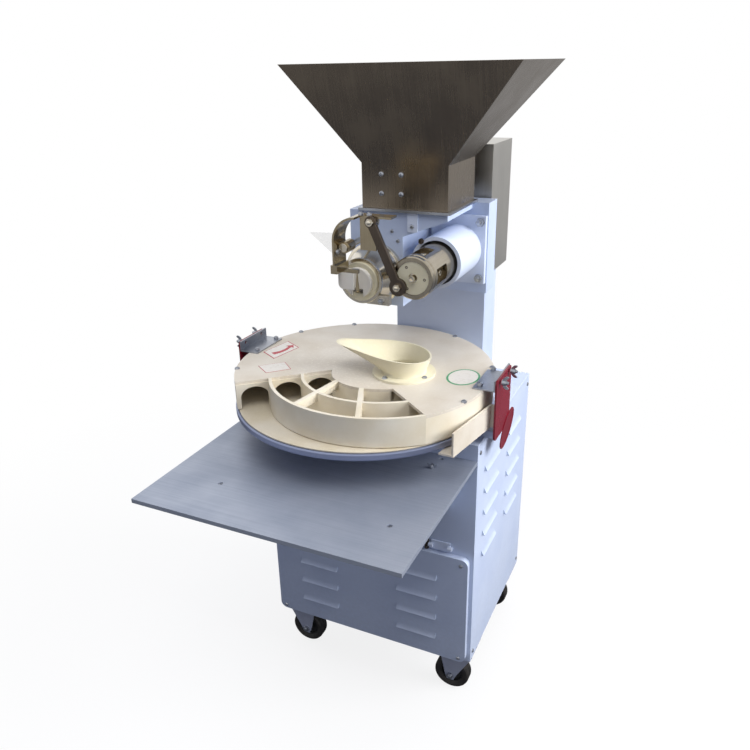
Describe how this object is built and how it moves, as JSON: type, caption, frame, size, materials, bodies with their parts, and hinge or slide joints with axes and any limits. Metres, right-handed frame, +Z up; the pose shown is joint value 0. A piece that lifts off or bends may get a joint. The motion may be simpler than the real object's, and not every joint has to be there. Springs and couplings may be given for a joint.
{
  "type": "bun forming machine",
  "caption": "Wheeled dough divider and rounder: hopper, auger head with swinging cutter, turntable under a covered rounding track, tray and louvred cabinet.",
  "frame": {"origin": "on the floor at the middle of the overall box", "axes": "+Z up, +X to the right seen from the tray side, +Y from the tray to the back"},
  "size_m": [0.628, 0.877, 1.4],
  "materials": {
    "stainless": "brushed",
    "polished_steel": "polished",
    "white_paint": "gloss enamel",
    "blue_paint": "gloss enamel",
    "cream_plastic": "satin",
    "white_plastic": "satin",
    "red_paint": "gloss enamel",
    "turntable_metal": "turned",
    "plated_steel": "zinc plated",
    "dark_steel": "oiled",
    "motor_paint": "painted",
    "belt_rubber": "matt",
    "wheel_rubber": "matt",
    "black_plastic": "matt"
  },
  "bodies": {
    "machine": {"back_panel": "blue_paint", "base_plate": "blue_paint", "bracket_arms": "blue_paint", "cabinet_frame": "blue_paint", "cabinet_shell": "blue_paint", "cable_gland": "black_plastic", "castor_plates": "plated_steel", "column": "blue_paint", "cover_brackets": "plated_steel", "cover_latch": "blue_paint", "crank_housing": "white_paint", "exit_fence": "cream_plastic", "front_cover": "blue_paint", "funnel": "cream_plastic", "gear_hood": "stainless", "gearmotors": "motor_paint", "head_bearings": "plated_steel", "head_belt": "belt_rubber", "head_bolts": "plated_steel", "head_casting": "white_paint", "hopper": "stainless", "hopper_flange": "stainless", "lift_belt": "belt_rubber", "nozzle_body": "polished_steel", "nozzle_cap": "white_plastic", "nozzle_ring": "cream_plastic", "panel_screws": "plated_steel", "rear_forks": "plated_steel", "rocker_stud": "polished_steel", "rounding_track": "cream_plastic", "side_plates": "red_paint", "top_plate": "blue_paint", "track_cover": "cream_plastic", "track_screws": "plated_steel", "tray": "stainless", "tray_brackets": "blue_paint", "turntable_bearings": "plated_steel", "turntable_belt": "belt_rubber", "wing_nuts": "plated_steel"},
    "turntable_body": {"turntable": "turntable_metal", "turntable_liner": "cream_plastic", "turntable_shaft": "polished_steel"},
    "turntable_drive": {"turntable_motor_pulley": "plated_steel"},
    "crank": {"crank_drum": "polished_steel", "crank_disc": "cream_plastic", "crank_shaft": "polished_steel", "drum_bolts": "plated_steel"},
    "auger_body": {"auger": "polished_steel"},
    "head_drive": {"head_motor_pulley": "plated_steel"},
    "cutter": {"cutter_strap": "stainless", "cutter_block": "white_plastic", "side_flap": "white_plastic"},
    "rod": {"cutter_rod": "dark_steel", "rod_bolts": "plated_steel"},
    "fork_left": {"fork_front_left": "plated_steel"},
    "fork_right": {"fork_front_right": "plated_steel"},
    "front_left_wheel": {"wheel_front_left": "wheel_rubber"},
    "front_right_wheel": {"wheel_front_right": "wheel_rubber"},
    "rear_left_wheel": {"wheel_rear_left": "wheel_rubber"},
    "rear_right_wheel": {"wheel_rear_right": "wheel_rubber"}
  },
  "joints": [
    {"name": "turntable_spin", "type": "hinge", "parent": "machine", "child": "turntable_body", "pos_m": [0, -0.0055, 0.742], "axis": [0, 0, 1], "continuous": true},
    {"name": "turntable_motor_spin", "type": "hinge", "parent": "machine", "child": "turntable_drive", "pos_m": [0, 0.1855, 0.555], "axis": [0, 0, 1], "continuous": true},
    {"name": "crank_spin", "type": "hinge", "parent": "machine", "child": "crank", "pos_m": [0.132, 0.2165, 1.0205], "axis": [0, 1, 0], "continuous": true},
    {"name": "auger_spin", "type": "hinge", "parent": "machine", "child": "auger_body", "pos_m": [0, 0.2165, 0.991], "axis": [0, 1, 0], "continuous": true},
    {"name": "head_motor_spin", "type": "hinge", "parent": "machine", "child": "head_drive", "pos_m": [0.132, 0.2705, 0.203], "axis": [0, 1, 0], "continuous": true},
    {"name": "knife_swing", "type": "hinge", "parent": "machine", "child": "cutter", "pos_m": [-0.0105, -0.0315, 1.0695], "axis": [0, -1, 0], "range_deg": [-21, 23]},
    {"name": "rod_swing", "type": "hinge", "parent": "cutter", "child": "rod", "pos_m": [0.051, -0.06, 1.124], "axis": [0, -1, 0], "range_deg": [-23, 21]},
    {"name": "left_swivel", "type": "hinge", "parent": "machine", "child": "fork_left", "pos_m": [-0.19, -0.0045, 0.12], "axis": [0, 0, 1], "continuous": true},
    {"name": "right_swivel", "type": "hinge", "parent": "machine", "child": "fork_right", "pos_m": [0.23, -0.0045, 0.12], "axis": [0, 0, 1], "continuous": true},
    {"name": "front_left_roll", "type": "hinge", "parent": "fork_left", "child": "front_left_wheel", "pos_m": [-0.178, -0.0045, 0.0425], "axis": [0, 1, 0], "continuous": true},
    {"name": "front_right_roll", "type": "hinge", "parent": "fork_right", "child": "front_right_wheel", "pos_m": [0.218, -0.0045, 0.0425], "axis": [0, 1, 0], "continuous": true},
    {"name": "rear_left_roll", "type": "hinge", "parent": "machine", "child": "rear_left_wheel", "pos_m": [-0.178, 0.3155, 0.0425], "axis": [0, 1, 0], "continuous": true},
    {"name": "rear_right_roll", "type": "hinge", "parent": "machine", "child": "rear_right_wheel", "pos_m": [0.218, 0.3155, 0.0425], "axis": [0, 1, 0], "continuous": true}
  ],
  "couplings": [
    {"joint": "turntable_motor_spin", "follows": "turntable_spin", "ratio": 1},
    {"joint": "auger_spin", "follows": "crank_spin", "ratio": 1},
    {"joint": "head_motor_spin", "follows": "crank_spin", "ratio": 1.375},
    {"joint": "rod_swing", "follows": "knife_swing", "ratio": -1}
  ]
}
